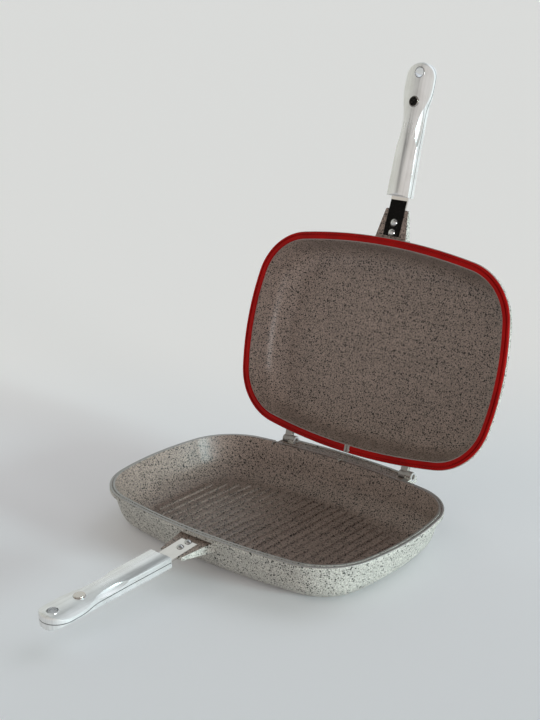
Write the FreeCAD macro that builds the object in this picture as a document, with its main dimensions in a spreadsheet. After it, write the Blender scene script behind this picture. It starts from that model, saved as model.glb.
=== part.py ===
import FreeCAD, Part
import math
import os
import Sketcher

# Double-sided flip pan: two oval pans on one hinge line, each with a cast bracket,
# a riveted steel tang and a two-shell handle.  Frame: X along the hinge line, handles
# towards -Y, +Z up, origin on the flat foot under the middle of the base pan.
# Each pan is drawn in its own frame, foot down and rim up; the lid is then turned over
# and swung open about the hinge line.

SIZES = (
    ("pan_length", 310.0),
    ("pan_width", 216.8),
    ("long_side_radius", 620.0),
    ("short_side_radius", 285.0),
    ("corner_radius", 60.0),
    ("flange_depth", 5.3),
    ("flange_overhang", 3.3),
    ("flange_edge_radius", 0.8),
    ("base_depth", 42.0),
    ("base_draft", 16.4),
    ("base_edge_radius", 24.5),
    ("base_rim_width", 5.0),
    ("base_floor", 3.8),
    ("base_inner_radius", 24.0),
    ("lid_depth", 38.0),
    ("lid_draft", 19.0),
    ("lid_edge_radius", 24.0),
    ("lid_rim_width", 7.8),
    ("lid_floor", 2.6),
    ("lid_inner_draft", 16.5),
    ("lid_inner_radius", 23.0),
    ("rim_gap", 0.35),
    ("ledge_step", 0.4),
    ("lip_width", 1.8),
    ("lip_groove_width", 0.8),
    ("lip_groove_depth", 1.0),
    ("vent_width", 4.4),
    ("vent_depth", 3.6),
    ("rib_count", 23.0),
    ("rib_pitch", 10.33),
    ("rib_width", 4.4),
    ("rib_height", 1.5),
    ("rib_draft", 32.0),
    ("rib_margin", 35.5),
    ("seal_thickness", 2.2),
    ("seal_seat", 0.6),
    ("seal_fit", 0.05),
    ("seal_outer_edge", 0.5),
    ("seal_width", 7.0),
    ("seal_channel_offset", 2.1),
    ("seal_channel_width", 1.2),
    ("seal_channel_depth", 1.0),
    ("seal_edge_radius", 0.5),
    ("seal_bridge_width", 6.0),
    ("seal_bridge_gap", 0.2),
    ("open_angle", 106.2),
    ("hinge_setback", 3.45),
    ("hinge_height", 0.6),
    ("left_hinge_x", 70.45),
    ("right_hinge_x", 73.85),
    ("hinge_gap", 0.3),
    ("knuckle_length", 7.9),
    ("knuckle_radius", 3.6),
    ("lug_length", 7.0),
    ("lug_radius", 4.7),
    ("pin_radius", 2.5),
    ("pin_clearance", 0.06),
    ("collar_radius", 4.4),
    ("collar_bore", 2.8),
    ("collar_thickness", 0.5),
    ("pin_recess", 2.6),
    ("neck_rise", 0.3),
    ("neck_depth", 4.7),
    ("heel_reach", 6.4),
    ("heel_thickness", 2.2),
    ("heel_gap", 0.25),
    ("gutter_reach", 13.1),
    ("gutter_wall", 2.4),
    ("gutter_drop", 1.8),
    ("gutter_floor", 5.2),
    ("gutter_wall_drop", 1.0),
    ("gutter_left_margin", 4.5),
    ("knuckle_pocket_depth", 4.3),
    ("bracket_reach", 29.2),
    ("bracket_tip_width", 26.0),
    ("bracket_root_width", 36.0),
    ("bracket_tip_depth", 13.6),
    ("bracket_root_depth", 16.2),
    ("bracket_corner_radius", 1.8),
    ("bracket_step", 0.3),
    ("base_tang_start", 5.4),
    ("lid_tang_start", 2.6),
    ("tang_width", 18.8),
    ("tang_gap", 0.3),
    ("tang_thickness", 2.0),
    ("tang_drop", 6.55),
    ("tang_slope", 5.0),
    ("tang_joggle_start", 38.4),
    ("tang_insert", 22.0),
    ("base_rivet_near", 7.6),
    ("lid_rivet_near", 5.8),
    ("rivet_pitch", 10.1),
    ("rivet_radius", 2.0),
    ("rivet_head_radius", 3.7),
    ("rivet_head_height", 2.2),
    ("rivet_grip", 2.4),
    ("rivet_foot_radius", 2.8),
    ("rivet_foot_height", 1.0),
    ("rivet_well_gap", 0.4),
    ("handle_start", 41.6),
    ("handle_drop", 3.0),
    ("base_handle_slope", 2.2),
    ("lid_handle_slope", 0.0),
    ("handle_length", 131.0),
    ("handle_root_width", 25.8),
    ("handle_waist_width", 24.0),
    ("handle_bulb_width", 32.0),
    ("handle_waist_start", 48.0),
    ("handle_waist_from_tip", 51.0),
    ("handle_bulb_from_tip", 24.0),
    ("handle_face_depth", 6.5),
    ("handle_back_depth", 8.6),
    ("handle_face_edge_radius", 3.2),
    ("handle_crown", 3.4),
    ("handle_back_slope", 1.0),
    ("handle_back_hollow", 3.4),
    ("handle_back_crown", 5.6),
    ("handle_back_edge_radius", 1.2),
    ("handle_parting_chamfer", 0.3),
    ("handle_wall", 2.6),
    ("scoop_from_tip", 63.0),
    ("scoop_offset", 15.6),
    ("scoop_rise", 1.8),
    ("scoop_depth_radius", 8.0),
    ("scoop_sweep_radius", 68.0),
    ("hang_hole_from_tip", 10.0),
    ("hang_hole_radius", 4.8),
    ("eyelet_wall", 0.8),
    ("eyelet_rise", 0.1),
    ("eyelet_end_radius", 0.35),
    ("magnet_from_tip", 38.5),
    ("magnet_radius", 5.0),
    ("magnet_height", 3.4),
    ("magnet_rise", 1.2),
    ("magnet_cup_wall", 0.6),
)

doc = FreeCAD.newDocument("flip_pan")
sheet = doc.addObject("Spreadsheet::Sheet", "Sheet")
for row, (alias, value) in enumerate(SIZES, 1):
    sheet.set("A%d" % row, alias)
    sheet.set("B%d" % row, str(value))
    sheet.setAlias("B%d" % row, alias)
doc.recompute()


class Size:
    """A length or angle that knows its value and the sheet expression behind it."""

    def __init__(self, value, text):
        self.value = float(value)
        self.text = text

    def __add__(self, other):
        other = as_size(other)
        return Size(self.value + other.value, "(%s + %s)" % (self.text, other.text))

    def __sub__(self, other):
        other = as_size(other)
        return Size(self.value - other.value, "(%s - %s)" % (self.text, other.text))

    def __mul__(self, other):
        other = as_size(other)
        return Size(self.value * other.value, "(%s * %s)" % (self.text, other.text))

    def __truediv__(self, other):
        other = as_size(other)
        return Size(self.value / other.value, "(%s / %s)" % (self.text, other.text))

    def __neg__(self):
        return Size(-self.value, "(0 - %s)" % self.text)


def as_size(value):
    return value if isinstance(value, Size) else Size(value, repr(float(value)))


def cell(alias):
    return Size(sheet.get(alias), "Sheet.%s" % alias)


def cosine(angle):
    return Size(math.cos(math.radians(angle.value)), "cos(%s)" % angle.text)


def sine(angle):
    return Size(math.sin(math.radians(angle.value)), "sin(%s)" % angle.text)


def tangent(angle):
    return Size(math.tan(math.radians(angle.value)), "tan(%s)" % angle.text)


def root(square):
    return Size(math.sqrt(square.value), "sqrt(%s)" % square.text)


HALF_LENGTH = cell("pan_length") / 2
HALF_WIDTH = cell("pan_width") / 2
SIDE_CENTRE = cell("long_side_radius") - HALF_WIDTH
END_CENTRE = cell("short_side_radius") - HALF_LENGTH
HINGE_Y = HALF_WIDTH + cell("hinge_setback")
BRACKET_TIP_Y = -(HALF_WIDTH + cell("bracket_reach"))
ZERO = as_size(0)


# ---------------------------------------------------------------- drawing helpers

def new_body(label):
    body = doc.addObject("PartDesign::Body", label)
    body.Label = label
    return body


def origin_feature(body, role):
    return [item for item in body.Origin.OriginFeatures if item.Role == role][0]


def new_sketch(body, name, role, offset, turn=None):
    sketch = body.newObject("Sketcher::SketchObject", name)
    sketch.AttachmentSupport = (origin_feature(body, role), [""])
    sketch.MapMode = "FlatFace"
    if turn is not None:
        sketch.AttachmentOffset = turn
        return sketch
    offset = as_size(offset)
    sketch.AttachmentOffset = FreeCAD.Placement(FreeCAD.Vector(0, 0, offset.value), FreeCAD.Rotation())
    sketch.setExpression("AttachmentOffset.Base.z", offset.text)
    return sketch


waiting = {}


def hold(sketch, kind, *parts):
    """Note a constraint, driven by the sheet when its last part is a Size."""
    waiting.setdefault(sketch.Name, []).append((kind, parts))


def settle(sketch):
    """Add a finished sketch's constraints together, which is quicker than one by one."""
    noted = waiting.pop(sketch.Name)
    constraints = []
    for kind, parts in noted:
        numbers = [part.value if isinstance(part, Size) else part for part in parts]
        constraints.append(Sketcher.Constraint(kind, *numbers))
    sketch.addConstraint(constraints)
    for index, (kind, parts) in enumerate(noted):
        if isinstance(parts[-1], Size):
            sketch.setExpression("Constraints[%d]" % index, parts[-1].text)


def hold_point(sketch, element, end, x, y):
    for kind, axis, size in (("DistanceX", -2, x), ("DistanceY", -1, y)):
        if size.value == 0:
            hold(sketch, "PointOnObject", element, end, axis)
        else:
            hold(sketch, kind, -1, 1, element, end, size)


def new_arc(x, y, radius, start, end):
    circle = Part.Circle(FreeCAD.Vector(x, y, 0), FreeCAD.Vector(0, 0, 1), radius)
    return Part.ArcOfCircle(circle, start, end)


def hold_bend(sketch, element, corner, following):
    """Hold an arc by its radius, or a half circle by its centre, whose ends say the rest."""
    x, y, radius = corner
    across = math.hypot(following[0].value - x.value, following[1].value - y.value)
    if abs(radius.value) * 2 - across > 1e-6:
        hold(sketch, "Radius", element, radius if radius.value > 0 else -radius)
    elif abs(following[1].value - y.value) < 1e-6:
        hold(sketch, "DistanceY", -1, 1, element, 3, y)
    else:
        hold(sketch, "DistanceX", -1, 1, element, 3, x)


def draw_chain(sketch, corners):
    """Close a chain of corners (x, y) joined by lines, or (x, y, radius) where an arc
    leaves the corner: a positive radius turns left and a negative one turns right."""
    first = sketch.GeometryCount
    corners = [tuple(as_size(part) for part in corner) for corner in corners]
    ends = []
    for index, corner in enumerate(corners):
        following = corners[(index + 1) % len(corners)]
        start = FreeCAD.Vector(corner[0].value, corner[1].value, 0)
        end = FreeCAD.Vector(following[0].value, following[1].value, 0)
        if len(corner) == 2:
            sketch.addGeometry(Part.LineSegment(start, end), False)
            ends.append((1, 2))
            continue
        radius = corner[2].value
        across = end - start
        rise = math.sqrt(max(radius * radius - across.Length * across.Length / 4, 0))
        side = FreeCAD.Vector(-across.y, across.x, 0).normalize()
        centre = (start + end) * 0.5 + side * math.copysign(rise, radius)
        angles = [math.atan2(point.y - centre.y, point.x - centre.x) for point in (start, end)]
        ends.append((1, 2) if radius > 0 else (2, 1))
        if radius < 0:
            angles.reverse()
        if angles[1] < angles[0]:
            angles[1] += 2 * math.pi
        sketch.addGeometry(new_arc(centre.x, centre.y, abs(radius), *angles), False)
    for index, corner in enumerate(corners):
        element = first + index
        before = first + (index - 1) % len(corners)
        hold(sketch, "Coincident", before, ends[index - 1][1], element, ends[index][0])
        hold_point(sketch, element, ends[index][0], corner[0], corner[1])
        if len(corner) == 3:
            hold_bend(sketch, element, corner, corners[(index + 1) % len(corners)])


def draw_circle(sketch, x, y, radius):
    x, y = as_size(x), as_size(y)
    circle = Part.Circle(FreeCAD.Vector(x.value, y.value, 0), FreeCAD.Vector(0, 0, 1), radius.value)
    element = sketch.addGeometry(circle, False)
    hold(sketch, "Radius", element, radius)
    hold_point(sketch, element, 3, x, y)


def draw_oval(sketch, inset):
    """The pan's outline, moved inwards by inset: four wide arcs joined by four corner arcs."""
    inset = as_size(inset)
    side = cell("long_side_radius") - inset
    end = cell("short_side_radius") - inset
    corner = cell("corner_radius") - inset
    span = math.hypot(END_CENTRE.value, SIDE_CENTRE.value)
    to_side = side.value - corner.value
    to_end = end.value - corner.value
    along = (to_side ** 2 - to_end ** 2 + span ** 2) / (2 * span)
    off = math.sqrt(to_side ** 2 - along ** 2)
    lean_x = END_CENTRE.value / span
    lean_y = SIDE_CENTRE.value / span
    corner_x = off * lean_y - along * lean_x
    corner_y = along * lean_y + off * lean_x - SIDE_CENTRE.value
    side_angle = math.atan2(corner_y + SIDE_CENTRE.value, corner_x)
    end_angle = math.atan2(corner_y, corner_x + END_CENTRE.value)
    first = sketch.GeometryCount
    half = math.pi
    arcs = (
        (-END_CENTRE.value, 0, end.value, -end_angle, end_angle),
        (corner_x, corner_y, corner.value, end_angle, side_angle),
        (0, -SIDE_CENTRE.value, side.value, side_angle, half - side_angle),
        (-corner_x, corner_y, corner.value, half - side_angle, half - end_angle),
        (END_CENTRE.value, 0, end.value, half - end_angle, half + end_angle),
        (-corner_x, -corner_y, corner.value, half + end_angle, half + side_angle),
        (0, SIDE_CENTRE.value, side.value, half + side_angle, 2 * half - side_angle),
        (corner_x, -corner_y, corner.value, 2 * half - side_angle, 2 * half - end_angle),
    )
    for arc in arcs:
        sketch.addGeometry(new_arc(*arc), False)
    for index in range(len(arcs)):
        hold(sketch, "Tangent", first + index, 2, first + (index + 1) % len(arcs), 1)
    for index, axis in ((0, -1), (4, -1), (2, -2), (6, -2)):
        hold(sketch, "PointOnObject", first + index, 3, axis)
    for index, twin in ((1, 3), (1, 5), (1, 7), (0, 4), (2, 6)):
        hold(sketch, "Equal", first + index, first + twin)
    for index, radius in ((0, end), (1, corner), (2, side)):
        hold(sketch, "Radius", first + index, radius)
    hold(sketch, "DistanceX", first, 3, -1, 1, END_CENTRE)
    hold(sketch, "DistanceX", -1, 1, first + 4, 3, END_CENTRE)
    hold(sketch, "DistanceY", first + 2, 3, -1, 1, SIDE_CENTRE)
    hold(sketch, "DistanceY", -1, 1, first + 6, 3, SIDE_CENTRE)


def check(feature):
    doc.recompute()
    bad = {"Invalid", "Error"} & set(feature.State)
    if bad or feature.Shape.isNull() or not feature.Shape.isValid():
        raise RuntimeError("%s failed: %s" % (feature.Label, feature.getStatusString()))
    return feature


def add_feature(body, kind, name, sketch, length, draft=None, back=False):
    """Pad or Pocket a sketch by length; draft narrows the far end."""
    settle(sketch)
    before = body.Shape.Volume if body.Tip else 0
    feature = body.newObject("PartDesign::" + kind, name)
    feature.Profile = sketch
    feature.setExpression("Length", as_size(length).text)
    if draft is not None:
        feature.setExpression("TaperAngle", (-draft).text)
    feature.Reversed = back
    sketch.Visibility = False
    check(feature)
    grew = feature.Shape.Volume - before
    if (grew > 0) != (kind == "Pad") or abs(grew) < 1e-3:
        raise RuntimeError("%s changed the volume by %g" % (name, grew))
    return feature


def pad(body, name, sketch, length, draft=None, back=False):
    return add_feature(body, "Pad", name, sketch, length, draft, back)


def pocket(body, name, sketch, length, draft=None, back=False):
    return add_feature(body, "Pocket", name, sketch, length, draft, back)


def revolve(body, kind, name, sketch, axis):
    settle(sketch)
    feature = body.newObject("PartDesign::" + kind, name)
    feature.Profile = sketch
    feature.ReferenceAxis = axis
    feature.Angle = 360
    return check(feature)


def dress_edges(body, kind, name, base, size_name, size, wanted):
    """Fillet or Chamfer every edge of base that wanted(edge) accepts."""
    names = ["Edge%d" % number for number, edge in enumerate(base.Shape.Edges, 1) if wanted(edge)]
    feature = body.newObject("PartDesign::" + kind, name)
    feature.Base = (base, names)
    feature.setExpression(size_name, size.text)
    return check(feature)


def round_edges(body, name, base, radius, wanted):
    return dress_edges(body, "Fillet", name, base, "Radius", radius, wanted)


def chamfer_edges(body, name, base, size, wanted):
    return dress_edges(body, "Chamfer", name, base, "Size", size, wanted)


def level(edge, z):
    return abs(edge.BoundBox.ZMin - z) < 1e-4 and abs(edge.BoundBox.ZMax - z) < 1e-4


def box_on(sketch, x0, x1, y0, y1):
    draw_chain(sketch, [(x0, y0), (x1, y0), (x1, y1), (x0, y1)])


# ---------------------------------------------------------------- frames

def lid_frame():
    """From the lid's own frame to the object's: turned over, then swung open."""
    depth = cell("base_depth").value + cell("lid_depth").value
    over = FreeCAD.Placement(FreeCAD.Vector(0, 0, depth), FreeCAD.Rotation(FreeCAD.Vector(0, 1, 0), 180))
    hinge = FreeCAD.Vector(0, HINGE_Y.value, cell("base_depth").value + cell("hinge_height").value)
    swing = FreeCAD.Rotation(FreeCAD.Vector(1, 0, 0), -cell("open_angle").value)
    return FreeCAD.Placement(FreeCAD.Vector(), swing, hinge).multiply(over)


def sloped_frame(y, z, slope):
    """A frame in a pan's frame whose -Y runs outwards and falls by slope."""
    turn = FreeCAD.Rotation(FreeCAD.Vector(1, 0, 0), slope.value)
    return FreeCAD.Placement(FreeCAD.Vector(0, y.value, z.value), turn)


def tang_frame(rim):
    return sloped_frame(-HALF_WIDTH, rim - cell("tang_drop"), cell("tang_slope"))


def handle_frame(rim, slope):
    return sloped_frame(-HALF_WIDTH - cell("handle_start"), rim - cell("handle_drop"), slope)


def in_handle(rim, slope, out, up):
    """Pan-frame (y, z) of a point out along the handle and up from its face."""
    y = -HALF_WIDTH - cell("handle_start") - out * cosine(slope) - up * sine(slope)
    z = rim - cell("handle_drop") - out * sine(slope) + up * cosine(slope)
    return y, z


# ---------------------------------------------------------------- pans

def add_shell(body, rim, draft, edge_radius):
    """Drafted wall with a rounded foot, under a deeper rim flange."""
    flange_bottom = rim - cell("flange_depth")
    sketch = new_sketch(body, body.Label + "_wall_outline", "XY_Plane", flange_bottom)
    draw_oval(sketch, cell("flange_overhang"))
    wall = pad(body, body.Label + "_wall", sketch, flange_bottom, draft, back=True)
    return round_edges(body, body.Label + "_foot_edge", wall, edge_radius, lambda edge: level(edge, 0))


def add_flange(body, rim, drop, rounded):
    """Rim flange whose top lies drop below the rim, with its outer edges at the given
    levels rounded."""
    low = rim - cell("flange_depth")
    sketch = new_sketch(body, body.Label + "_flange_outline", "XY_Plane", low)
    draw_oval(sketch, ZERO)
    flange = pad(body, body.Label + "_flange", sketch, cell("flange_depth") - drop)
    reach = HALF_WIDTH.value - cell("flange_overhang").value / 2

    def outer(edge):
        box = edge.BoundBox
        out = max(abs(box.XMin), abs(box.XMax), abs(box.YMin), abs(box.YMax))
        return out > reach and any(level(edge, z.value) for z in rounded)

    return round_edges(body, body.Label + "_flange_edge", flange, cell("flange_edge_radius"), outer)


def rivet_places(pan):
    """How far out from the pan's edge each rivet stands, along the tang."""
    near = cell(pan + "_rivet_near")
    return near, near + cell("rivet_pitch")


def tang_top(rim, out):
    """Height of the riveted tang's top face, out from the pan's edge."""
    return rim - cell("tang_drop") - out * tangent(cell("tang_slope"))


def add_bracket(body, rim):
    """Cast bracket that narrows and thins towards its tip, its top just under the tang's."""
    inside = cell("bracket_reach") / 2
    widen = (cell("bracket_root_width") - cell("bracket_tip_width")) / cell("bracket_reach")
    deepen = (cell("bracket_root_depth") - cell("bracket_tip_depth")) / cell("bracket_reach")
    ends = (
        ("tip", cell("bracket_reach"), cell("bracket_tip_width"), cell("bracket_tip_depth")),
        ("root", -inside, cell("bracket_root_width") + widen * inside,
         cell("bracket_root_depth") + deepen * inside),
    )
    sections = []
    for name, out, width, depth in ends:
        sketch = new_sketch(body, "%s_bracket_%s" % (body.Label, name), "XZ_Plane", HALF_WIDTH + out)
        box_on(sketch, -width / 2, width / 2, rim - depth, tang_top(rim, out) - cell("bracket_step"))
        settle(sketch)
        sections.append(sketch)
    loft = body.newObject("PartDesign::AdditiveLoft", body.Label + "_bracket")
    loft.Profile = sections[0]
    loft.Sections = [sections[1]]
    loft.Ruled = True
    check(loft)
    top = tang_top(rim, cell("bracket_reach")) - cell("bracket_step")
    half = cell("bracket_tip_width").value / 2

    def outside(edge):
        """The tip's two upright corners and the three edges round the underside."""
        box = edge.BoundBox
        touches = abs(box.YMin - BRACKET_TIP_Y.value) < 1e-3
        below = box.ZMin < top.value - 1e-3
        sunk = box.ZMax < top.value - 1e-3
        upright = box.ZMax - box.ZMin > 1 and box.YMax - box.YMin < 1e-3
        return touches and below and (sunk or upright) and box.XMax > -half - 1e-3

    return round_edges(body, body.Label + "_bracket_edge", loft, cell("bracket_corner_radius"), outside)


def cut_channel(body, rim, tang_start):
    """Open channel between the bracket's two fins, with a floor that follows the tang."""
    back = tang_start - cell("tang_gap")
    tip = cell("bracket_reach") + 1
    seat = cell("tang_thickness") / cosine(cell("tang_slope"))
    top = rim - cell("flange_depth")
    width = cell("tang_width") + cell("tang_gap") * 2
    sketch = new_sketch(body, body.Label + "_channel_side", "YZ_Plane", width / 2)
    draw_chain(sketch, [
        (-HALF_WIDTH - tip, tang_top(rim, tip) - seat),
        (-HALF_WIDTH - back, tang_top(rim, back) - seat),
        (-HALF_WIDTH - back, top),
        (-HALF_WIDTH - tip, top),
    ])
    return pocket(body, body.Label + "_channel", sketch, width)


def cut_rivet_holes(body, rim, outs):
    """Two rivet bores square to the tang, with a well for each rivet's foot."""
    start = tang_frame(rim)
    grip = cell("tang_thickness") + cell("rivet_grip")
    for name, radius, depth in (
        ("bore", cell("rivet_radius"), 0),
        ("well", cell("rivet_foot_radius") + cell("rivet_well_gap"), grip),
    ):
        lower = FreeCAD.Placement(FreeCAD.Vector(0, 0, -as_size(depth).value), FreeCAD.Rotation())
        sketch = new_sketch(body, "%s_rivet_%s" % (body.Label, name), "XY_Plane", 0, start.multiply(lower))
        for out in outs:
            draw_circle(sketch, 0, -out, radius)
        last = pocket(body, "%s_rivet_%ss" % (body.Label, name), sketch, cell("bracket_root_depth"))
    return last


def hollow_out(body, rim, inset, draft, floor, radius):
    """Cut the cooking hollow: the oval at the rim, drafted, with a rounded floor edge."""
    core = new_body(body.Label + "_core")
    sketch = new_sketch(core, core.Label + "_outline", "XY_Plane", rim)
    draw_oval(sketch, inset)
    block = pad(core, core.Label + "_block", sketch, rim - floor, draft, back=True)
    round_edges(core, core.Label + "_edge", block, radius, lambda edge: level(edge, floor.value))
    hollow = body.newObject("PartDesign::Boolean", body.Label + "_hollow")
    hollow.setObjects([core])
    hollow.Type = "Cut"
    return check(hollow)


def rib_half_length(x, margin):
    """Half length of a rib at x whose ends follow the pan's outline, margin inside it."""
    side = cell("long_side_radius") - margin
    end = HALF_LENGTH - margin
    width = HALF_WIDTH - margin
    on_side = root(side * side - x * x) - SIDE_CENTRE
    return on_side - width * 0.42 * (x / end) * (x / end) * (x / end) * (x / end)


def add_ribs(body):
    """Parallel grill ribs across the floor, with rounded sloping ends and sides."""
    sunk = as_size(0.2)
    ribs = new_body("base_pan_rib_core")
    ribs.AllowCompound = True
    count = int(cell("rib_count").value)
    radius = cell("rib_width") / 2
    for start in range(0, count, 4):
        sketch = new_sketch(ribs, "rib_outlines_%d" % start, "XY_Plane", cell("base_floor") - sunk)
        for index in range(start, min(start + 4, count)):
            x = cell("rib_pitch") * (index - (count - 1) / 2)
            half = rib_half_length(x, cell("rib_margin"))
            draw_chain(sketch, [
                (x + radius, -half),
                (x + radius, half, radius),
                (x - radius, half),
                (x - radius, -half, radius),
            ])
        pad(ribs, "ribs_%d" % start, sketch, cell("rib_height") + sunk, cell("rib_draft"))
    joined = body.newObject("PartDesign::Boolean", "rib_join")
    joined.setObjects([ribs])
    joined.Type = "Fuse"
    return check(joined)


def add_gutter(body, rim):
    """Drip gutter behind the rear rim: a floor and a back wall that follow the rim."""
    left = -(cell("left_hinge_x") + cell("knuckle_length") + cell("gutter_left_margin"))
    right = cell("right_hinge_x") + cell("lug_length")
    outer = cell("long_side_radius") + cell("gutter_reach")
    wall = cell("gutter_wall")
    bottom = rim - cell("gutter_drop") - cell("gutter_floor")
    straight = cell("hinge_gap") * 4 + cell("lug_length")
    bend = cell("left_hinge_x") - straight
    front = HALF_WIDTH - cell("gutter_reach")

    def outline(sketch, inset, x0, x1):
        radius = outer - inset
        back = root(radius * radius - bend * bend) - SIDE_CENTRE
        draw_chain(sketch, [
            (x0, front),
            (x1, front),
            (x1, back),
            (bend, back, radius),
            (-bend, back),
            (x0, back),
        ])

    block = new_sketch(body, "gutter_outline", "XY_Plane", bottom)
    outline(block, ZERO, left, right)
    pad(body, "gutter", block, cell("gutter_drop") + cell("gutter_floor") - cell("gutter_wall_drop"))
    trough = new_sketch(body, "trough_outline", "XY_Plane", rim)
    outline(trough, wall, left + wall, right - cell("lug_length"))
    pocket(body, "gutter_trough", trough, cell("gutter_drop"))
    add_knuckle_pockets(body, rim)
    side = new_sketch(body, "gutter_side_outline", "YZ_Plane", left)
    end_top = rim - cell("hinge_height") - cell("knuckle_radius")
    box_on(side, front, HINGE_Y + cell("knuckle_radius"), end_top, rim)
    return pocket(body, "gutter_low_side", side, wall, back=True)


def add_knuckle_pockets(body, rim):
    """Deeper pockets in the gutter: one for each knuckle of the lid to turn in, and one
    for the collar that stands inside the gutter."""
    sketch = new_sketch(body, "knuckle_pocket_outlines", "XY_Plane", rim)
    gap = cell("hinge_gap")
    reach = cell("knuckle_radius") + gap * 2
    for middle in (-cell("left_hinge_x"), cell("right_hinge_x")):
        box_on(sketch, middle - cell("knuckle_length") - gap * 2, middle + gap / 2,
               HINGE_Y - reach, HINGE_Y + reach)
    collar = cell("collar_radius") + gap * 2
    face = cell("hinge_gap") / 2 + cell("lug_length") - cell("left_hinge_x")
    box_on(sketch, face, face + cell("collar_thickness") + gap, HINGE_Y - collar, HINGE_Y + collar)
    return pocket(body, "knuckle_pockets", sketch, cell("knuckle_pocket_depth"))


def add_lugs(body, rim):
    """Two upright hinge lugs that stand on the gutter floor."""
    top = rim + cell("hinge_height")
    radius = cell("lug_radius")
    starts = (-cell("left_hinge_x") + cell("hinge_gap") / 2, cell("right_hinge_x") + cell("hinge_gap") / 2)
    for name, start in zip(("left", "right"), starts):
        sketch = new_sketch(body, "lug_side_" + name, "YZ_Plane", start)
        foot = rim - cell("gutter_drop") - cell("gutter_floor") / 2
        draw_chain(sketch, [
            (HINGE_Y - radius, foot),
            (HINGE_Y + radius, foot),
            (HINGE_Y + radius, top, radius),
            (HINGE_Y - radius, top),
        ])
        pad(body, "lug_" + name, sketch, cell("lug_length"))


def bore_hinges(body, axis_z, radius):
    """Bore every lug or knuckle of a pan on the hinge line."""
    sketch = new_sketch(body, body.Label + "_pin_bore", "YZ_Plane", HALF_LENGTH)
    draw_circle(sketch, HINGE_Y, axis_z, radius)
    return pocket(body, body.Label + "_pin_bores", sketch, cell("pan_length"))


def make_base_pan():
    body = new_body("base_pan")
    rim = cell("base_depth")
    top = rim - cell("rim_gap")
    ledge = top - cell("ledge_step")
    lip_outer = cell("base_rim_width") - cell("lip_width")
    add_shell(body, rim, cell("base_draft"), cell("base_edge_radius"))
    add_flange(body, rim, rim - ledge, (rim - cell("flange_depth"), ledge))
    add_gutter(body, rim)
    add_lugs(body, rim)
    sketch = new_sketch(body, "lip_outline", "XY_Plane", ledge)
    draw_oval(sketch, lip_outer)
    pad(body, "lip", sketch, cell("ledge_step"))
    sketch = new_sketch(body, "lip_groove_outline", "XY_Plane", ledge)
    draw_oval(sketch, lip_outer)
    draw_oval(sketch, lip_outer - cell("lip_groove_width"))
    pocket(body, "lip_groove", sketch, cell("lip_groove_depth"))
    add_bracket(body, rim)
    hollow_out(body, rim, cell("base_rim_width"), cell("base_draft"), cell("base_floor"),
               cell("base_inner_radius"))
    cut_channel(body, rim, cell("base_tang_start"))
    cut_rivet_holes(body, rim, rivet_places("base"))
    bore_hinges(body, rim + cell("hinge_height"), cell("pin_radius"))
    vent = new_sketch(body, "vent_outline", "XY_Plane", rim)
    box_on(vent, -cell("vent_width") / 2, cell("vent_width") / 2,
           HALF_WIDTH - cell("base_rim_width") * 1.5, HALF_WIDTH + 0.5)
    pocket(body, "vent", vent, cell("vent_depth"))
    add_ribs(body)


def make_lid_pan():
    body = new_body("lid_pan")
    rim = cell("lid_depth")
    face = rim - cell("seal_thickness") + cell("seal_seat")
    add_shell(body, rim, cell("lid_draft"), cell("lid_edge_radius"))
    add_flange(body, rim, rim - face, (rim - cell("flange_depth"),))
    add_bracket(body, rim)
    add_knuckles(body, rim)
    hollow_out(body, rim, cell("lid_rim_width"), cell("lid_inner_draft"), cell("lid_floor"),
               cell("lid_inner_radius"))
    seat = new_sketch(body, "seal_seat_outline", "XY_Plane", rim)
    draw_oval(seat, cell("seal_outer_edge") - cell("seal_fit"))
    draw_oval(seat, cell("seal_outer_edge") + cell("seal_width") + cell("seal_fit"))
    pocket(body, "seal_seat", seat, cell("seal_thickness"))
    add_bridge(body, rim)
    cut_channel(body, rim, cell("lid_tang_start"))
    cut_rivet_holes(body, rim, rivet_places("lid"))
    bore_hinges(body, rim - cell("hinge_height"), cell("pin_radius") + cell("pin_clearance"))
    return body


def add_knuckles(body, rim):
    """Hinge knuckles on short necks, each with a stop heel at the back.  The lid is drawn
    turned over, so its left knuckle lies at +X here."""
    axis_z = rim - cell("hinge_height")
    radius = cell("knuckle_radius")
    length = cell("knuckle_length") - cell("hinge_gap") / 2
    starts = (cell("left_hinge_x") + cell("hinge_gap") / 2,
              -cell("right_hinge_x") + cell("hinge_gap") / 2)
    lean = cell("open_angle")
    # The heel lies on the back wall's top edge when the lid is open: its underside is
    # heel_low above or below the hinge line there.
    heel_low = -(cell("gutter_wall_drop") + cell("hinge_height")) + cell("heel_gap")

    def turned(out, up):
        """Lid-frame point of an open-pose offset from the hinge line."""
        y = HINGE_Y + out * cosine(lean) - up * sine(lean)
        z = axis_z - out * sine(lean) - up * cosine(lean)
        return y, z

    for name, start in zip(("left", "right"), starts):
        sketch = new_sketch(body, "neck_side_" + name, "YZ_Plane", start)
        neck_top = rim - cell("neck_rise")
        neck_low = rim - cell("neck_rise") - cell("neck_depth")
        inner = HALF_WIDTH - cell("flange_overhang") * 2.6
        box_on(sketch, inner, HINGE_Y, neck_low, neck_top)
        pad(body, "neck_" + name, sketch, length)
        sketch = new_sketch(body, "knuckle_side_" + name, "YZ_Plane", start)
        draw_circle(sketch, HINGE_Y, axis_z, radius)
        pad(body, "knuckle_" + name, sketch, length)
        sketch = new_sketch(body, "heel_side_" + name, "YZ_Plane", start)
        heel_top = heel_low + cell("heel_thickness")
        draw_chain(sketch, [
            turned(ZERO, heel_low),
            turned(ZERO, heel_top),
            turned(cell("heel_reach"), heel_top),
            turned(cell("heel_reach"), heel_low),
        ])
        pad(body, "heel_" + name, sketch, length)


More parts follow.
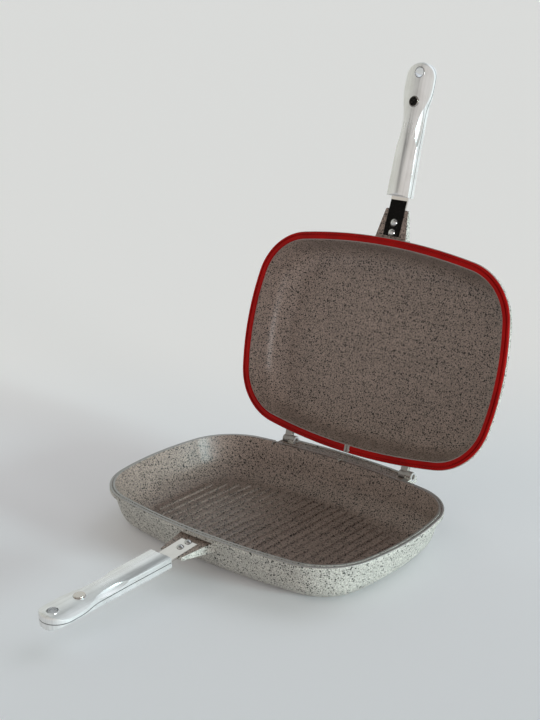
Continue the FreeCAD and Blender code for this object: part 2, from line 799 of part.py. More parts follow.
def add_bridge(body, rim):
    """Metal bridge in the gap of the seal, with a steam groove that meets the rear vent."""
    width = cell("seal_bridge_width")
    sketch = new_sketch(body, "bridge_outline", "XY_Plane", rim - cell("seal_thickness") - 0.2)
    outer = HALF_WIDTH - cell("seal_outer_edge") - 0.3
    inner = HALF_WIDTH - cell("lid_rim_width")
    box_on(sketch, -width / 2, width / 2, inner, outer)
    pad(body, "bridge", sketch, cell("seal_thickness") + 0.2)
    sketch = new_sketch(body, "bridge_groove_outline", "XY_Plane", rim)
    box_on(sketch, -width / 6, width / 6, inner - 1, outer + 1)
    return pocket(body, "bridge_groove", sketch, cell("seal_channel_depth"))


def make_seal():
    """Flat silicone ring with a moulded channel, split at the rear by the metal bridge."""
    body = new_body("lid_seal")
    rim = cell("lid_depth")
    outer = cell("seal_outer_edge")
    sketch = new_sketch(body, "seal_outline", "XY_Plane", rim - cell("seal_thickness"))
    draw_oval(sketch, outer)
    draw_oval(sketch, outer + cell("seal_width"))
    ring = pad(body, "seal_ring", sketch, cell("seal_thickness"))
    round_edges(body, "seal_edge", ring, cell("seal_edge_radius"), lambda edge: level(edge, rim.value))
    channel = new_sketch(body, "seal_channel_outline", "XY_Plane", rim)
    start = outer + cell("seal_channel_offset")
    draw_oval(channel, start)
    draw_oval(channel, start + cell("seal_channel_width"))
    pocket(body, "seal_channel", channel, cell("seal_channel_depth"))
    gap = new_sketch(body, "seal_gap_outline", "XY_Plane", rim)
    half = cell("seal_bridge_width") / 2 + cell("seal_bridge_gap")
    box_on(gap, -half, half, HALF_WIDTH - cell("seal_width") * 2, HALF_WIDTH)
    pocket(body, "seal_gap", gap, cell("seal_thickness"))
    return body


# ---------------------------------------------------------------- hinge hardware

def make_pin(label, x0, x1):
    body = new_body(label)
    sketch = new_sketch(body, label + "_section", "YZ_Plane", x0)
    draw_circle(sketch, HINGE_Y, cell("base_depth") + cell("hinge_height"), cell("pin_radius"))
    pad(body, label + "_rod", sketch, x1 - x0)
    return body


def make_collar(label, face_x):
    body = new_body(label)
    sketch = new_sketch(body, label + "_section", "YZ_Plane", face_x)
    for radius in (cell("collar_radius"), cell("collar_bore")):
        draw_circle(sketch, HINGE_Y, cell("base_depth") + cell("hinge_height"), radius)
    pad(body, label + "_ring", sketch, cell("collar_thickness"))
    return body


def make_hinge_hardware():
    gap = cell("hinge_gap")
    for side, middle in (("left", -cell("left_hinge_x")), ("right", cell("right_hinge_x"))):
        lug_face = middle + gap / 2 + cell("lug_length")
        make_pin("hinge_pin_" + side, middle - cell("knuckle_length") - gap,
                 lug_face - cell("pin_recess"))
        make_collar("hinge_collar_" + side, lug_face)


# ---------------------------------------------------------------- tangs and rivets

def make_tang(pan, rim, slope, outs, placement):
    """Steel strip: riveted in the bracket, cranked up, then along the handle's parting."""
    body = new_body(pan + "_tang")
    width = cell("tang_width")
    thick = cell("tang_thickness")
    start = cell(pan + "_tang_start")
    crank = cell("tang_joggle_start")
    seat = -cell("handle_face_depth")
    top = [(-HALF_WIDTH - start, tang_top(rim, start)), (-HALF_WIDTH - crank, tang_top(rim, crank)),
           in_handle(rim, slope, ZERO, seat), in_handle(rim, slope, cell("tang_insert"), seat)]
    down = thick / cosine(cell("tang_slope"))
    bottom = [in_handle(rim, slope, cell("tang_insert"), seat - thick),
              in_handle(rim, slope, ZERO, seat - thick),
              (-HALF_WIDTH - crank, tang_top(rim, crank) - down),
              (-HALF_WIDTH - start, tang_top(rim, start) - down)]
    sketch = new_sketch(body, body.Label + "_side", "YZ_Plane", -width / 2)
    draw_chain(sketch, top + bottom)
    strip = pad(body, body.Label + "_strip", sketch, width)
    holes = new_sketch(body, body.Label + "_holes", "XY_Plane", 0, tang_frame(rim))
    for out in outs:
        draw_circle(holes, 0, -out, cell("rivet_radius"))
    pocket(body, body.Label + "_rivet_holes", holes, thick * 2)
    body.Placement = placement


def make_rivet(label, out, rim, placement):
    """Domed rivet through the tang and the bracket, with its foot in the well."""
    body = new_body(label)
    head = cell("rivet_head_radius")
    rise = cell("rivet_head_height")
    dome = (head * head + rise * rise) / (rise * 2)
    grip = cell("tang_thickness") + cell("rivet_grip")
    foot = cell("rivet_foot_radius")
    low = grip + cell("rivet_foot_height")
    sketch = new_sketch(body, label + "_profile", "XZ_Plane", 0)
    draw_chain(sketch, [
        (ZERO, -low),
        (foot, -low),
        (foot, -grip),
        (cell("rivet_radius"), -grip),
        (cell("rivet_radius"), ZERO),
        (head, ZERO, dome),
        (ZERO, rise),
    ])
    revolve(body, "Revolution", label + "_turned", sketch, (sketch, ["V_Axis"]))
    spot = FreeCAD.Placement(FreeCAD.Vector(0, -out.value, 0), FreeCAD.Rotation())
    body.Placement = placement.multiply(tang_frame(rim)).multiply(spot)


# ---------------------------------------------------------------- handles

def draw_handle(sketch):
    """Outline of a handle, root at y = 0 and tip at -handle_length: a slight taper to the
    waist, an even flare on each side and a round-ended bulb."""
    root_half = cell("handle_root_width") / 2
    waist = cell("handle_waist_width") / 2
    bulb = cell("handle_bulb_width") / 2
    waist_start = -cell("handle_waist_start")
    waist_end = cell("handle_waist_from_tip") - cell("handle_length")
    bulb_start = cell("handle_bulb_from_tip") - cell("handle_length")
    centre = bulb - cell("handle_length")
    out = bulb.value - waist.value
    run = waist_end.value - bulb_start.value
    sweep = 2 * math.atan2(out, run)
    flare = run / (2 * math.sin(sweep))

    def line(x0, y0, x1, y1):
        return Part.LineSegment(FreeCAD.Vector(x0, y0, 0), FreeCAD.Vector(x1, y1, 0))

    w, b, r = waist.value, bulb.value, root_half.value
    ys, ye, yb, yc = waist_start.value, waist_end.value, bulb_start.value, centre.value
    half = math.pi
    first = sketch.GeometryCount
    elements = [
        line(-r, 0, r, 0),
        line(r, 0, w, ys),
        line(w, ys, w, ye),
        new_arc(w + flare, ye, flare, half, half + sweep),
        new_arc(b - flare, yb, flare, 0, sweep),
        line(b, yb, b, yc),
        new_arc(0, yc, b, half, 2 * half),
        line(-b, yc, -b, yb),
        new_arc(flare - b, yb, flare, half - sweep, half),
        new_arc(-w - flare, ye, flare, -sweep, 0),
        line(-w, ye, -w, ys),
        line(-w, ys, -r, 0),
    ]
    for element in elements:
        sketch.addGeometry(element, False)
    joints = [(0, 2, 1, 1), (1, 2, 2, 1), (10, 2, 11, 1), (11, 2, 0, 1)]
    smooth = [(2, 2, 3, 1), (3, 2, 4, 2), (4, 1, 5, 1), (5, 2, 6, 2), (6, 1, 7, 1),
              (7, 2, 8, 2), (8, 1, 9, 1), (9, 2, 10, 1)]
    for a, a_end, c, c_end in joints:
        hold(sketch, "Coincident", first + a, a_end, first + c, c_end)
    for a, a_end, c, c_end in smooth:
        hold(sketch, "Tangent", first + a, a_end, first + c, c_end)
    hold_point(sketch, first, 1, -root_half, ZERO)
    hold_point(sketch, first, 2, root_half, ZERO)
    hold_point(sketch, first + 1, 2, waist, waist_start)
    hold_point(sketch, first + 10, 2, -waist, waist_start)
    for element, end, x, y in ((2, 2, waist, waist_end), (5, 1, bulb, bulb_start),
                               (10, 1, -waist, waist_end), (7, 2, -bulb, bulb_start)):
        hold_point(sketch, first + element, end, x, y)
    hold(sketch, "PointOnObject", first + 6, 3, -2)
    hold(sketch, "DistanceY", -1, 1, first + 6, 3, centre)


def hang_hole_y():
    return cell("hang_hole_from_tip") - cell("handle_length")


def magnet_y():
    return cell("magnet_from_tip") - cell("handle_length")


def cut_hang_hole(body, top):
    sketch = new_sketch(body, body.Label + "_hang_hole_outline", "XY_Plane", top)
    draw_circle(sketch, 0, hang_hole_y(), cell("hang_hole_radius") + cell("eyelet_wall"))
    return pocket(body, body.Label + "_hang_hole", sketch, cell("handle_face_depth") + cell("handle_back_depth"))


def cut_inside(body, name, half_width, start, end, depth):
    """Hollow a handle shell upwards or downwards from the parting plane."""
    parting = -cell("handle_face_depth")
    sketch = new_sketch(body, body.Label + "_" + name + "_outline", "XY_Plane", parting)
    box_on(sketch, -half_width, half_width, -end, -start)
    return pocket(body, body.Label + "_" + name, sketch, depth, back=body.Label.endswith("face"))


def cut_crown(body):
    """Crown a face shell: a wide arch along its length that falls by handle_crown at the
    bulb's sides."""
    half = cell("handle_bulb_width") / 2
    drop = cell("handle_crown")
    arch = (half * half + drop * drop) / (drop * 2)
    top = drop
    sketch = new_sketch(body, body.Label + "_crown_outline", "XZ_Plane", cell("handle_length"))
    edge = half + 1
    fall = root(arch * arch - edge * edge) - arch
    draw_chain(sketch, [
        (edge, fall, arch),
        (-edge, fall),
        (-edge, top),
        (edge, top),
    ])
    return pocket(body, body.Label + "_crown", sketch, cell("handle_length"))


def make_handle_face(pan, placement):
    """Face shell: crowned and rounded, with two side scoops, magnet seat and hanging hole."""
    body = new_body(pan + "_handle_face")
    label = body.Label
    depth = cell("handle_face_depth")
    sketch = new_sketch(body, label + "_outline", "XY_Plane", -depth)
    draw_handle(sketch)
    block = pad(body, label + "_block", sketch, depth)
    block = round_edges(body, label + "_edge", block, cell("handle_face_edge_radius"),
                        lambda edge: level(edge, 0))
    chamfer_edges(body, label + "_parting", block, cell("handle_parting_chamfer"),
                  lambda edge: level(edge, -depth.value))
    cut_crown(body)
    scoop = new_sketch(body, label + "_scoop", "XY_Plane", cell("scoop_rise"))
    reach = cell("scoop_sweep_radius") - cell("scoop_depth_radius")
    sweep = cell("scoop_sweep_radius")
    half_span = root(sweep * sweep - reach * reach)
    middle = cell("scoop_from_tip") - cell("handle_length")
    x = cell("scoop_offset")
    draw_chain(scoop, [(x, middle - half_span), (x, middle + half_span, sweep)])
    groove = revolve(body, "Groove", label + "_scoop_cut", scoop, (scoop, ["Edge1"]))
    mirror = body.newObject("PartDesign::Mirrored", label + "_scoop_pair")
    mirror.Originals = [groove]
    mirror.MirrorPlane = (origin_feature(body, "YZ_Plane"), [""])
    body.Tip = mirror
    check(mirror)
    wall = cell("handle_wall")
    cut_inside(body, "inside", cell("handle_waist_width") / 4, cell("tang_insert") + wall,
               -magnet_y() - cell("magnet_radius") - wall, depth - wall)
    seat = new_sketch(body, label + "_magnet_seat_outline", "XY_Plane", 0)
    draw_circle(seat, 0, magnet_y(), cell("magnet_radius") + cell("magnet_cup_wall"))
    pocket(body, label + "_magnet_seat", seat,
           cell("magnet_height") - cell("magnet_rise") + cell("magnet_cup_wall"))
    cut_hang_hole(body, ZERO)
    body.Placement = placement


def upright(edge):
    box = edge.BoundBox
    return box.XMax - box.XMin < 1e-3 and box.YMax - box.YMin < 1e-3


def belly_level(y):
    """Height of the back shell's underside at y, midway across."""
    deepest = cell("handle_face_depth") + cell("handle_back_depth")
    return -deepest - y * tangent(cell("handle_back_slope"))


def cut_belly(body):
    """Arch the underside of a back shell across its width; the arch rises to the tip."""
    half = cell("handle_bulb_width") / 2 + 1
    crown = cell("handle_back_crown")
    bulb = cell("handle_bulb_width") / 2
    arch = (bulb * bulb + crown * crown) / (crown * 2)
    lean = FreeCAD.Rotation(FreeCAD.Vector(1, 0, 0), 90 - cell("handle_back_slope").value)
    place = FreeCAD.Placement(FreeCAD.Vector(0, 0, belly_level(ZERO).value), lean)
    sketch = new_sketch(body, body.Label + "_belly_outline", "XY_Plane", 0, place)
    rise = arch - root(arch * arch - half * half)
    draw_chain(sketch, [
        (half, rise, -arch),
        (-half, rise),
        (-half, -crown),
        (half, -crown),
    ])
    return pocket(body, body.Label + "_belly", sketch, cell("handle_length") * 1.1, back=True)


def make_handle_back(pan, placement):
    """Back shell: arched underside, a slot for the tang and the same hanging hole."""
    body = new_body(pan + "_handle_back")
    label = body.Label
    parting = -cell("handle_face_depth")
    sketch = new_sketch(body, label + "_outline", "XY_Plane", parting)
    draw_handle(sketch)
    pad(body, label + "_block", sketch, cell("handle_back_depth"), back=True)
    block = cut_belly(body)
    block = round_edges(body, label + "_edge", block, cell("handle_back_edge_radius"),
                        lambda edge: edge.BoundBox.ZMax < parting.value - 1e-3 and not upright(edge))
    chamfer_edges(body, label + "_parting", block, cell("handle_parting_chamfer"),
                  lambda edge: level(edge, parting.value))
    wall = cell("handle_wall")
    cut_inside(body, "inside", cell("handle_waist_width") / 2 - wall * 1.5, cell("tang_insert") + wall,
               -hang_hole_y() - cell("hang_hole_radius") - wall * 2, cell("handle_back_hollow"))
    cut_inside(body, "tang_slot", cell("tang_width") / 2, ZERO, cell("tang_insert"), cell("tang_thickness"))
    cut_hang_hole(body, parting)
    body.Placement = placement


def make_eyelet(pan, placement):
    """Hanging-hole eyelet: a round-ended tube through both shells."""
    body = new_body(pan + "_handle_eyelet")
    bore = cell("hang_hole_radius")
    outer = bore + cell("eyelet_wall")
    rise = cell("eyelet_rise")
    low = belly_level(hang_hole_y())
    bend = cell("eyelet_end_radius")
    sketch = new_sketch(body, body.Label + "_profile", "XZ_Plane", 0)
    draw_chain(sketch, [
        (bore, rise),
        (bore, low - rise),
        (outer - bend, low - rise, bend),
        (outer, low - rise + bend),
        (outer, rise - bend, bend),
        (outer - bend, rise),
    ])
    revolve(body, "Revolution", body.Label + "_turned", sketch, (sketch, ["V_Axis"]))
    body.Placement = placement.multiply(spot_on_handle(hang_hole_y()))


def spot_on_handle(y):
    return FreeCAD.Placement(FreeCAD.Vector(0, y.value, 0), FreeCAD.Rotation())


def make_magnet(pan, placement):
    """Disc magnet in a thin steel cup, standing a little proud of the handle's face."""
    wall = cell("magnet_cup_wall")
    radius = cell("magnet_radius")
    top = cell("magnet_rise")
    bottom = top - cell("magnet_height")
    disc = new_body(pan + "_magnet")
    sketch = new_sketch(disc, disc.Label + "_outline", "XY_Plane", bottom)
    draw_circle(sketch, 0, 0, radius)
    block = pad(disc, disc.Label + "_disc", sketch, cell("magnet_height"))
    round_edges(disc, disc.Label + "_edge", block, wall / 2, lambda edge: level(edge, top.value))
    cup = new_body(pan + "_magnet_cup")
    sketch = new_sketch(cup, cup.Label + "_outline", "XY_Plane", bottom - wall)
    draw_circle(sketch, 0, 0, radius + wall)
    pad(cup, cup.Label + "_disc", sketch, wall - bottom)
    hollow = new_sketch(cup, cup.Label + "_hollow_outline", "XY_Plane", 0)
    draw_circle(hollow, 0, 0, radius)
    pocket(cup, cup.Label + "_hollow", hollow, -bottom)
    for body in (disc, cup):
        body.Placement = placement.multiply(spot_on_handle(magnet_y()))


# ---------------------------------------------------------------- whole object

def make_handle_set(pan, rim, slope, frame):
    """Everything that hangs on one pan's bracket."""
    outs = rivet_places(pan)
    make_tang(pan, rim, slope, outs, frame)
    for number, out in enumerate(outs, 1):
        make_rivet("%s_rivet_%d" % (pan, number), out, rim, frame)
    grip = frame.multiply(handle_frame(rim, slope))
    make_handle_face(pan, grip)
    make_handle_back(pan, grip)
    make_eyelet(pan, grip)
    make_magnet(pan, grip)


def sub_parts():
    bodies = [item for item in doc.Objects if item.TypeId == "PartDesign::Body"]
    return [body for body in bodies if not body.Label.endswith("_core")]


def main():
    make_base_pan()
    make_hinge_hardware()
    make_handle_set("base", cell("base_depth"), cell("base_handle_slope"), FreeCAD.Placement())
    frame = lid_frame()
    make_lid_pan().Placement = frame
    make_seal().Placement = frame
    make_handle_set("lid", cell("lid_depth"), cell("lid_handle_slope"), frame)
    doc.recompute()
    failed = [item.Label for item in doc.Objects if {"Invalid", "Error"} & set(item.State)]
    if failed:
        raise RuntimeError("failed objects: %s" % ", ".join(failed))
    for body in sub_parts():
        if body.Shape.isNull() or not body.Shape.isValid() or len(body.Shape.Solids) != 1:
            raise RuntimeError("%s is not one valid solid" % body.Label)
        body.Shape.exportStep("parts/%s.step" % body.Label)
        box = body.Shape.BoundBox
        print("%-22s %9.1f mm3  x %7.1f %7.1f  y %7.1f %7.1f  z %6.1f %6.1f" % (
            body.Label, body.Shape.Volume, box.XMin, box.XMax, box.YMin, box.YMax, box.ZMin, box.ZMax))


os.makedirs("parts", exist_ok=True)
main()
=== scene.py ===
import math

import bpy
from mathutils import Matrix, Vector

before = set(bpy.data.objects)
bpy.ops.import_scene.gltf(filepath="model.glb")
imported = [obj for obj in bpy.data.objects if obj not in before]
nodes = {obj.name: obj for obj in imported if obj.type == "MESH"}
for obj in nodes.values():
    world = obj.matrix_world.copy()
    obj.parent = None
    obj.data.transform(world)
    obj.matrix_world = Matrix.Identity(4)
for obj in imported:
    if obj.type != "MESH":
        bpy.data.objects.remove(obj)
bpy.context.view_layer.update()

# The pan's own solids are shown as they are: this script gives them their materials, and
# adds the floor, the light and the camera.  Lengths are in metres and colours are linear.

UP = (0, 0, 1)
BASE_RIM_MIDDLE = (0, 0, 0.0426)
BASE_BARE_DEPTH = 0.0018
BASE_HANDLE_TIP = (0, -0.27066, 0.02787)
BASE_HANDLE_UP = (0, -0.03839, 0.99926)
LID_OPENING = (0, -0.9603, 0.279)
LID_RIM_MIDDLE = (0, 0.1425, 0.1502)
LID_BARE_DEPTH = 0.0019
LID_HANDLE_TIP = (0, 0.2272, 0.40777)
LID_HANDLE_UP = (0, -0.96029, 0.27899)
RIBS_CORNER = (0.119, 0.074)
RIBS_FOOT = 0.003

OUTER_COAT = (0.435, 0.415, 0.375, 1)
INNER_COAT = (0.279, 0.215, 0.184, 1)
WHITE = (1, 1, 1, 1)


# ---------------------------------------------------------------- node helpers

class Nodes:
    """A node tree, with short calls that add and link its nodes."""

    def __init__(self, tree):
        self.tree = tree
        coordinates = tree.nodes.new("ShaderNodeTexCoord")
        self.point = coordinates.outputs["Object"]
        self.normal = coordinates.outputs["Normal"]
        self.generated = coordinates.outputs["Generated"]

    def feed(self, socket, value):
        """Link a socket to another, or give it a plain value."""
        if isinstance(value, bpy.types.NodeSocket):
            self.tree.links.new(value, socket)
        else:
            socket.default_value = value

    def add(self, kind, output=0, settings=None, **inputs):
        """Add a node and return one output; i3 is its fourth input, others go by name."""
        node = self.tree.nodes.new("ShaderNode" + kind)
        for name, value in (settings or {}).items():
            setattr(node, name, value)
        for name, value in inputs.items():
            by_number = name[0] == "i" and name[1:].isdigit()
            self.feed(node.inputs[int(name[1:]) if by_number else name], value)
        return node.outputs[output]

    def math(self, operation, first, second=0.0):
        return self.add("Math", settings={"operation": operation}, i0=first, i1=second)

    def vector(self, operation, first, second=(0, 0, 0), output=0):
        return self.add("VectorMath", output, {"operation": operation}, i0=first, i1=second)

    def dot(self, first, second):
        return self.vector("DOT_PRODUCT", first, second, "Value")

    def ramp(self, value, low, high, dark=0.0, bright=1.0):
        """Smoothly map value from [low, high] to [dark, bright]."""
        settings = {"interpolation_type": "SMOOTHSTEP"}
        return self.add("MapRange", 0, settings, i0=value, i1=low, i2=high, i3=dark, i4=bright)

    def noise(self, scale, detail=2.0, roughness=0.5, point=None):
        point = point or self.point
        inputs = {"Vector": point, "Scale": scale, "Detail": detail, "Roughness": roughness}
        return self.add("TexNoise", "Fac", **inputs)

    def mottle(self, scale, dark, bright, detail=2.0):
        """Uneven level from dark to bright, in patches that shrink as scale grows."""
        return self.ramp(self.noise(scale, detail), 0.3, 0.7, dark, bright)

    def mix(self, factor, first, second, blend="MIX"):
        settings = {"data_type": "RGBA", "blend_type": blend}
        return self.add("Mix", 2, settings, i0=factor, i6=first, i7=second)

    def shade(self, colour, level):
        """Multiply a colour by one level."""
        tone = self.add("CombineColor", Red=level, Green=level, Blue=level)
        return self.mix(1.0, colour, tone, "MULTIPLY")


class Shader(Nodes):
    """A material with a Principled surface."""

    def __init__(self, name):
        self.material = bpy.data.materials.new(name)
        self.material.use_nodes = True
        super().__init__(self.material.node_tree)
        self.surface = self.tree.nodes["Principled BSDF"].inputs

    def set(self, **values):
        for name, value in values.items():
            self.surface[name.replace("_", " ")].default_value = value

    def colour(self, value):
        self.feed(self.surface["Base Color"], value)

    def roughness(self, value):
        self.feed(self.surface["Roughness"], value)

    def bump(self, height, strength, distance):
        bumped = self.add("Bump", Height=height, Strength=strength, Distance=distance)
        self.feed(self.surface["Normal"], bumped)

    def beyond(self, point):
        """The surface's place as seen from a point."""
        return self.vector("SUBTRACT", self.point, point)


def grey(level, warmth=0.0):
    """A grey that leans to brown where warmth is above 0."""
    return (level * (1 + warmth), level, level * (1 - warmth), 1.0)


# ---------------------------------------------------------------- materials

# Flecks of the coating.  Each row: size of a cell that can hold one fleck, smallest and
# largest radius, share of the cells that hold one and strength (each as a pair: outer
# coat, inner coat), and colour.
FLECKS = (
    (0.0014, 0.0003, 0.00068, (1.0, 1.0), (0.35, 0.5), grey(0.04, 0.12)),
    (0.0019, 0.00038, 0.0008, (0.7, 0.95), (1.0, 1.0), grey(0.012, 0.1)),
    (0.0055, 0.0006, 0.0011, (0.4, 0.4), (1.0, 1.0), grey(0.006)),
)


def specks(shader, cell, smallest, largest, share):
    """Round flecks, one in each of a share of the cells."""
    cells = shader.tree.nodes.new("ShaderNodeTexVoronoi")
    shader.feed(cells.inputs["Vector"], shader.point)
    cells.inputs["Scale"].default_value = 1 / cell
    pick = shader.add("SeparateColor", 0, Color=cells.outputs["Color"])
    size = shader.add("SeparateColor", 1, Color=cells.outputs["Color"])
    present = shader.math("LESS_THAN", pick, share)
    radius = shader.ramp(size, 0, 1, smallest / cell, largest / cell)
    depth = shader.math("SUBTRACT", radius, cells.outputs["Distance"])
    return shader.math("MULTIPLY", present, shader.ramp(depth, -0.05, 0.05))


def within(shader, corner, foot):
    """1 inside an upright box that is centred on the origin and starts at foot, 0 elsewhere."""
    reach = shader.vector("ABSOLUTE", shader.point)
    x, y, z = (shader.add("SeparateXYZ", axis, Vector=reach) for axis in range(3))
    inside = shader.math("GREATER_THAN", z, foot)
    for axis, limit in zip((x, y), corner):
        inside = shader.math("MULTIPLY", inside, shader.math("LESS_THAN", axis, limit))
    return inside


def make_coating(name, opening):
    """Stone-look non-stick coating, pale outside and warm and densely flecked inside.

    The inner coat is sprayed through the opening, so it lies on whatever faces that way,
    and on the ribs' sides.
    """
    shader = Shader(name)
    facing = shader.dot(shader.normal, opening)
    ragged = shader.math("ADD", facing, shader.mottle(500, -0.03, 0.03))
    inside = shader.ramp(ragged, 0.17, 0.25)
    inside = shader.math("MAXIMUM", inside, within(shader, RIBS_CORNER, RIBS_FOOT))
    grain = shader.ramp(shader.noise(1100, 2, 0.7), 0.36, 0.64, 0.66, 1.5)
    base = shader.mix(inside, OUTER_COAT, INNER_COAT)
    base = shader.shade(base, shader.mottle(60, 0.94, 1.05, detail=3))
    base = shader.shade(base, grain)
    for cell, smallest, largest, shares, strengths, tint in FLECKS:
        share = shader.ramp(inside, 0, 1, *shares)
        strength = shader.ramp(inside, 0, 1, *strengths)
        flecks = specks(shader, cell, smallest, largest, share)
        base = shader.mix(shader.math("MULTIPLY", flecks, strength), base, tint)
    shader.colour(base)
    shader.roughness(shader.mottle(900, 0.32, 0.46))
    shader.set(Specular_IOR_Level=0.35)
    shader.bump(shader.noise(900, 3), 0.12, 0.0002)
    return shader


def bare_rim(shader, middle, opening, depth):
    """Show bare metal where a pan lies within a depth of its rim and faces the opening."""
    height = shader.dot(shader.beyond(middle), opening)
    near = shader.ramp(height, -depth - 0.0002, -depth)
    facing = shader.ramp(shader.dot(shader.normal, opening), 0.3, 0.45)
    bare = shader.math("MULTIPLY", near, facing)
    coated = shader.surface["Base Color"].links[0].from_socket
    shader.colour(shader.mix(bare, coated, grey(0.34, 0.04)))
    shader.feed(shader.surface["Metallic"], shader.math("MULTIPLY", bare, 0.6))


def make_silicone():
    shader = Shader("seal_silicone")
    deep, bright = (0.31, 0.0008, 0.0004, 1), (0.40, 0.0015, 0.0008, 1)
    shader.colour(shader.mix(shader.mottle(40, 0, 1), deep, bright))
    shader.roughness(shader.mottle(500, 0.38, 0.5))
    shader.set(Specular_IOR_Level=0.12)
    shader.bump(shader.noise(900), 0.06, 0.0002)
    return shader.material


def make_satin_shell(name, tip, across):
    """Die-cast handle shell with a bright satin plating, rubbed along its length.

    The crease where the two shells meet, in the plane through the tip, is dark, and the
    polish is duller towards the tip.
    """
    shader = Shader(name)
    along = shader.vector("MULTIPLY", shader.point, (420, 14, 14))
    streaks = shader.noise(1.0, 4, 0.6, along)
    clouds = shader.ramp(shader.noise(50, 3), 0.35, 0.7)
    base = shader.mix(clouds, grey(0.90), grey(0.82, 0.01))
    base = shader.shade(base, shader.ramp(streaks, 0.35, 0.6, 0.88, 1.0))
    offset = shader.math("ABSOLUTE", shader.dot(shader.beyond(tip), across))
    crease = shader.ramp(offset, 0.00022, 0.00055, 0.16, 1.0)
    shader.colour(shader.shade(base, crease))
    shader.set(Metallic=0.72, Specular_IOR_Level=0.4)
    from_tip = shader.vector("LENGTH", shader.beyond(tip), output="Value")
    dullness = shader.ramp(from_tip, 0.035, 0.08, 0.14, 0.0)
    polish = shader.ramp(streaks, 0.3, 0.7, 0.14, 0.24)
    shader.roughness(shader.math("ADD", polish, dullness))
    shader.bump(streaks, 0.05, 0.0003)
    return shader.material


def make_steel(name, level, smooth, rough, warmth=0.0):
    """Bright steel with a faint uneven polish, whose roughness runs from smooth to rough."""
    shader = Shader(name)
    clouds = shader.noise(180, 3)
    shader.colour(shader.mix(clouds, grey(level, warmth), grey(level * 0.9, warmth)))
    shader.set(Metallic=1.0)
    shader.roughness(shader.mottle(900, smooth, rough, detail=3))
    shader.bump(shader.noise(1200), 0.02, 0.0001)
    return shader.material


def dress(material, *names):
    """Give the named pieces one material."""
    for name in names:
        slots = nodes[name].data.materials
        slots.clear()
        slots.append(material)


def dress_pan():
    base_coating = make_coating("base_coating", UP)
    bare_rim(base_coating, BASE_RIM_MIDDLE, UP, BASE_BARE_DEPTH)
    dress(base_coating.material, "base_pan")
    lid_coating = make_coating("lid_coating", LID_OPENING)
    bare_rim(lid_coating, LID_RIM_MIDDLE, LID_OPENING, LID_BARE_DEPTH)
    dress(lid_coating.material, "lid_pan")
    dress(make_silicone(), "lid_seal")

    base_shell = make_satin_shell("base_shell", BASE_HANDLE_TIP, BASE_HANDLE_UP)
    dress(base_shell, "base_handle_face", "base_handle_back")
    lid_shell = make_satin_shell("lid_shell", LID_HANDLE_TIP, LID_HANDLE_UP)
    dress(lid_shell, "lid_handle_face", "lid_handle_back")

    dress(make_steel("tang_steel", 0.72, 0.04, 0.09, 0.05), "base_tang", "lid_tang")
    rivet_steel = make_steel("rivet_steel", 0.58, 0.06, 0.12)
    dress(rivet_steel, "base_rivet_1", "base_rivet_2", "lid_rivet_1", "lid_rivet_2")
    bright_steel = make_steel("bright_steel", 0.82, 0.08, 0.16)
    dress(bright_steel, "base_handle_eyelet", "lid_handle_eyelet")
    dress(bright_steel, "hinge_pin_left", "hinge_pin_right")
    dress(make_steel("magnet_plate", 0.62, 0.05, 0.12, 0.08), "base_magnet", "lid_magnet")
    dress(make_steel("cup_plate", 0.6, 0.15, 0.25), "base_magnet_cup", "lid_magnet_cup")
    dress(make_steel("bare_metal", 0.85, 0.3, 0.4), "hinge_collar_left", "hinge_collar_right")


# ---------------------------------------------------------------- stage

FLOOR_REACH = 80
AWAY = (-0.645, 0.764, 0)
NEAR_PAPER = (0.86, 0.855, 0.88, 1)
# Painted light: the far floor colour is tinted warmer than the near floor.
FAR_PAPER_PAINTED_LIGHT = (0.895, 0.855, 0.84, 1)
BACKDROP = (0.71, 0.71, 0.70, 1)

# Each row: name, azimuth from +X towards +Y, elevation and width (degrees), strength, colour.
WINDOWS = (
    ("window", 10, 8.5, 14, 2.8, (0.74, 0.97, 1.0)),
    ("low_window", -13, 5, 14, 0.95, (1.0, 1.0, 1.0)),
)

# Each row: direction of a soft side light, its sharpness and its colour.
SIDE_LIGHTS = (
    ((0, -0.970, 0.243), 2, (0.72, 0.68, 0.65, 1)),
    ((0, 0.970, 0.243), 2, (0.80, 0.86, 0.93, 1)),
    ((0.981, 0, 0.196), 2, (0.26, 0.25, 0.22, 1)),
    ((-0.981, 0, 0.196), 2, (0.71, 0.74, 0.67, 1)),
    ((0.160, 0.600, 0.784), 10, (0.62, 0.63, 0.64, 1)),
)

# Each row: direction of a dark place in the room, the cosines at which it starts and is
# full, and how much light is left there.
DARK_PLACES = (
    ((-0.37, 0.6, 0.709), 0.976, 0.994, 0.2),
    ((-0.554, -0.722, 0.422), 0.982, 0.9945, 0.01),
)

CAMERA_PLACE = (0.72423, -0.86243, 0.5507)
CAMERA_RIGHT = Vector((0.76465, 0.64445, -0.00226))
CAMERA_UP = Vector((-0.20349, 0.24477, 0.94799))
SENSOR_WIDTH = 36
FOCAL_LENGTH = 65.72


def link(thing):
    bpy.context.scene.collection.objects.link(thing)


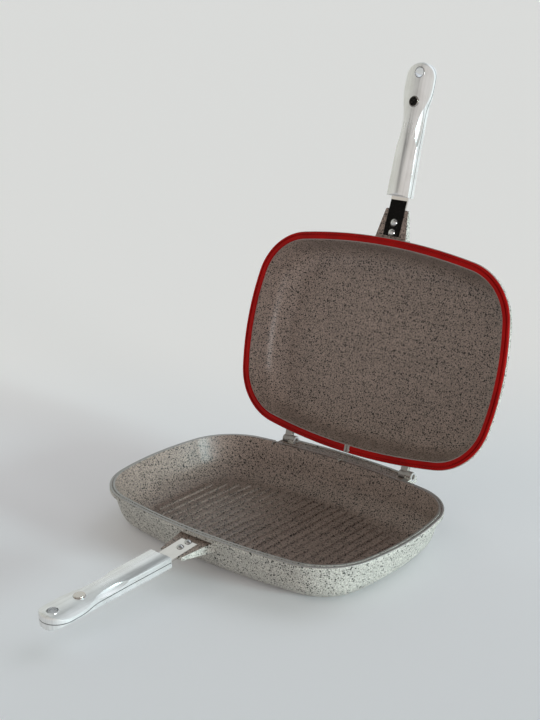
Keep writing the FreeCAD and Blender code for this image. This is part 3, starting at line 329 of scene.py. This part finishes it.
def make_floor():
    """A wide pale floor with painted light: its far part glows and turns warmer, like a lit
    paper sweep.
    """
    reach = FLOOR_REACH
    corners = [(-reach, -reach, 0), (reach, -reach, 0), (reach, reach, 0), (-reach, reach, 0)]
    mesh = bpy.data.meshes.new("floor")
    mesh.from_pydata(corners, [], [(0, 1, 2, 3)])
    floor = bpy.data.objects.new("floor", mesh)
    link(floor)
    shader = Shader("floor_paper")
    away = shader.dot(shader.point, AWAY)
    # Painted light: the floor's colour turns warmer away from the camera.
    shader.colour(shader.mix(shader.ramp(away, 0.1, 0.6), NEAR_PAPER, FAR_PAPER_PAINTED_LIGHT))
    shader.set(Roughness=0.9, Specular_IOR_Level=0.1, Emission_Color=WHITE)
    # Painted light: the floor glows more strongly away from the camera, which brightens its far
    # part.
    shader.feed(shader.surface["Emission Strength"], shader.ramp(away, -0.5, 0.7, 0, 0.11))
    mesh.materials.append(shader.material)


def make_window(name, azimuth, elevation, width, strength, colour):
    """Soft parallel light."""
    data = bpy.data.lights.new(name, "SUN")
    data.angle = math.radians(width)
    data.energy = strength
    data.color = colour
    turn, rise = math.radians(azimuth), math.radians(elevation)
    level = math.cos(rise)
    towards = Vector((level * math.cos(turn), level * math.sin(turn), math.sin(rise)))
    lamp = bpy.data.objects.new(name, data)
    lamp.location = towards * 3
    lamp.rotation_euler = towards.to_track_quat("Z", "Y").to_euler()
    link(lamp)


def make_world():
    """Soft light from all sides with a few dark places, behind a plain pale backdrop."""
    world = bpy.data.worlds.new("studio")
    bpy.context.scene.world = world
    world.use_nodes = True
    sky = Nodes(world.node_tree)
    colour = (0.0, 0.0, 0.0, 1)
    for direction, sharpness, tint in SIDE_LIGHTS:
        towards = sky.math("MAXIMUM", sky.dot(sky.generated, direction), 0.0)
        level = sky.math("POWER", towards, sharpness)
        colour = sky.mix(1.0, colour, sky.shade(tint, level), "ADD")
    for direction, edge, core, left in DARK_PLACES:
        towards = sky.dot(sky.generated, direction)
        colour = sky.shade(colour, sky.ramp(towards, edge, core, 1.0, left))
    seen_by_camera = sky.add("LightPath", "Is Camera Ray")
    background = world.node_tree.nodes["Background"].inputs
    sky.feed(background["Color"], sky.mix(seen_by_camera, colour, BACKDROP))
    background["Strength"].default_value = 1.0


def make_camera():
    """Long-lens view from the front right, a little above the pan."""
    data = bpy.data.cameras.new("camera")
    data.sensor_width = SENSOR_WIDTH
    data.lens = FOCAL_LENGTH
    data.clip_end = 60
    camera = bpy.data.objects.new("camera", data)
    link(camera)
    axes = (CAMERA_RIGHT, CAMERA_UP, CAMERA_RIGHT.cross(CAMERA_UP))
    turn = Matrix(axes).transposed().to_4x4()
    camera.matrix_world = Matrix.Translation(CAMERA_PLACE) @ turn
    bpy.context.scene.camera = camera


dress_pan()
make_floor()
for window in WINDOWS:
    make_window(*window)
make_world()
make_camera()
bpy.context.scene.view_settings.view_transform = "Standard"
